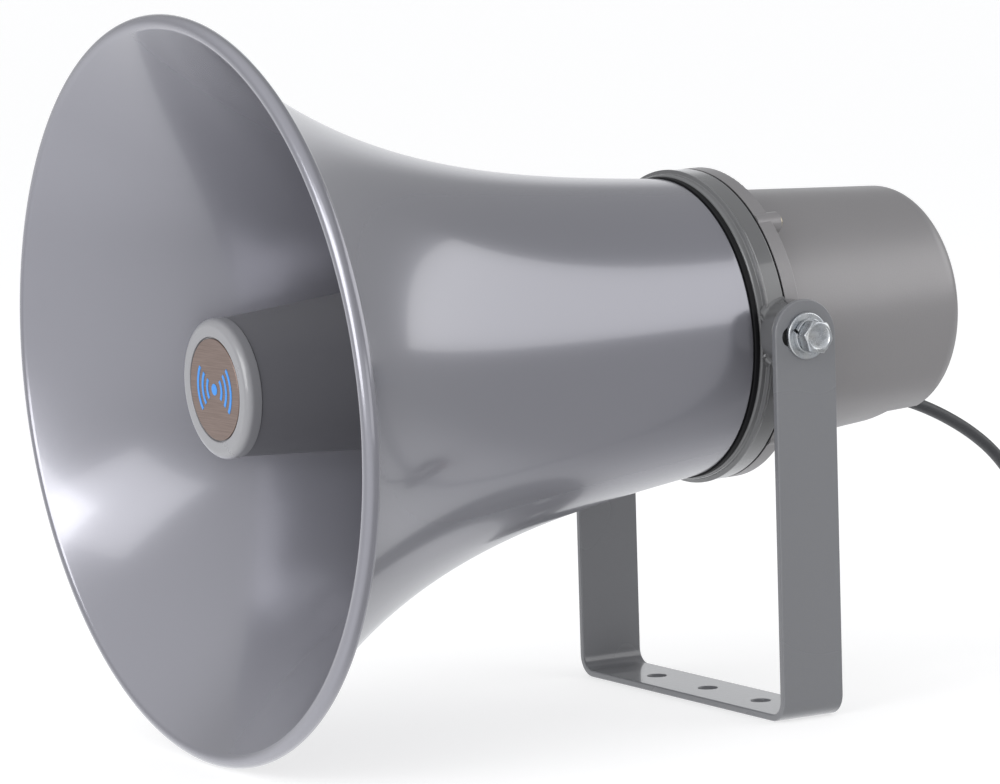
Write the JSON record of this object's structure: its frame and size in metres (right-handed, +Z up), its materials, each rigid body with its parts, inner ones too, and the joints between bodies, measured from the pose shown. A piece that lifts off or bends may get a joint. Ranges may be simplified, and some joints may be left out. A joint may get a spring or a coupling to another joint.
{
  "type": "horn loudspeaker",
  "caption": "Re-entrant horn loudspeaker with a flared round metal bell, a nose cone in its mouth, a cylindrical driver housing and a tilting U-shaped bracket, with a short two-core lead.",
  "frame": {"origin": "middle of the underside of the bracket's base strip, at the middle one of its three bolt holes", "axes": "+Z up away from the surface the bracket is bolted to; the mouth faces -Y; the tilt axis lies along X"},
  "size_m": [0.31, 0.4992, 0.3098],
  "materials": {
    "bell_paint": "semi-gloss",
    "reflector_paint": "satin",
    "casting_paint": "gloss",
    "bracket_coat": "gloss powder coat",
    "cover_plastic": "satin, finely textured",
    "nose_plastic": "gloss",
    "badge_metal": "brushed copper-brown",
    "zinc_steel": "bright zinc",
    "yellow_zinc": "yellow zinc",
    "black_rubber": "matte",
    "lead_jacket": "satin",
    "tie_plastic": "satin",
    "core_insulation": "satin",
    "magnet_ferrite": "ground",
    "pole_steel": "zinc",
    "driver_alloy": "as cast",
    "diaphragm_resin": "satin",
    "coil_copper": "enamelled",
    "laminations": "varnished",
    "bobbin_plastic": "satin",
    "tag_board": "matte"
  },
  "bodies": {
    "bracket": {"u_bracket": "bracket_coat", "cable": "lead_jacket", "cable_coil": "lead_jacket", "coil_tie": "tie_plastic", "cable_cores": "core_insulation"},
    "horn": {"bell": "bell_paint", "bell_gasket": "black_rubber", "base_casting": "casting_paint", "cover_gasket": "black_rubber", "rear_cover": "cover_plastic", "strain_relief": "black_rubber", "tone_tube": "driver_alloy", "reflector_spider": "driver_alloy", "reflector": "reflector_paint", "nose_cap": "nose_plastic", "badge": "badge_metal", "nose_screw": "zinc_steel", "driver_gasket": "black_rubber", "driver_front_plate": "driver_alloy", "phase_plug": "driver_alloy", "surround": "diaphragm_resin", "diaphragm_clamp_ring": "driver_alloy", "top_plate": "pole_steel", "magnet": "magnet_ferrite", "yoke": "pole_steel", "driver_screws": "zinc_steel", "transformer_core": "laminations", "transformer_bobbin": "bobbin_plastic", "transformer_winding": "coil_copper", "transformer_strap": "pole_steel", "transformer_screws": "zinc_steel", "tag_strip": "tag_board", "solder_tags": "zinc_steel", "flat_washers": "zinc_steel", "spring_washers": "zinc_steel", "pivot_bolts": "zinc_steel", "cover_screws": "yellow_zinc", "bell_screws": "zinc_steel"},
    "diaphragm": {"diaphragm": "diaphragm_resin", "voice_coil": "coil_copper"}
  },
  "joints": [
    {"name": "horn_tilt", "type": "hinge", "parent": "bracket", "child": "horn", "pos_m": [0, 0, 0.165], "axis": [1, 0, 0], "range_deg": [-90, 48], "deforming": ["cable"]},
    {"name": "diaphragm_travel", "type": "slide", "parent": "horn", "child": "diaphragm", "axis": [0, 0.9992, 0.0401], "range_m": [-0.0005, 0.0005], "stiffness_N_per_m": 5000, "deforming": ["surround"]}
  ]
}
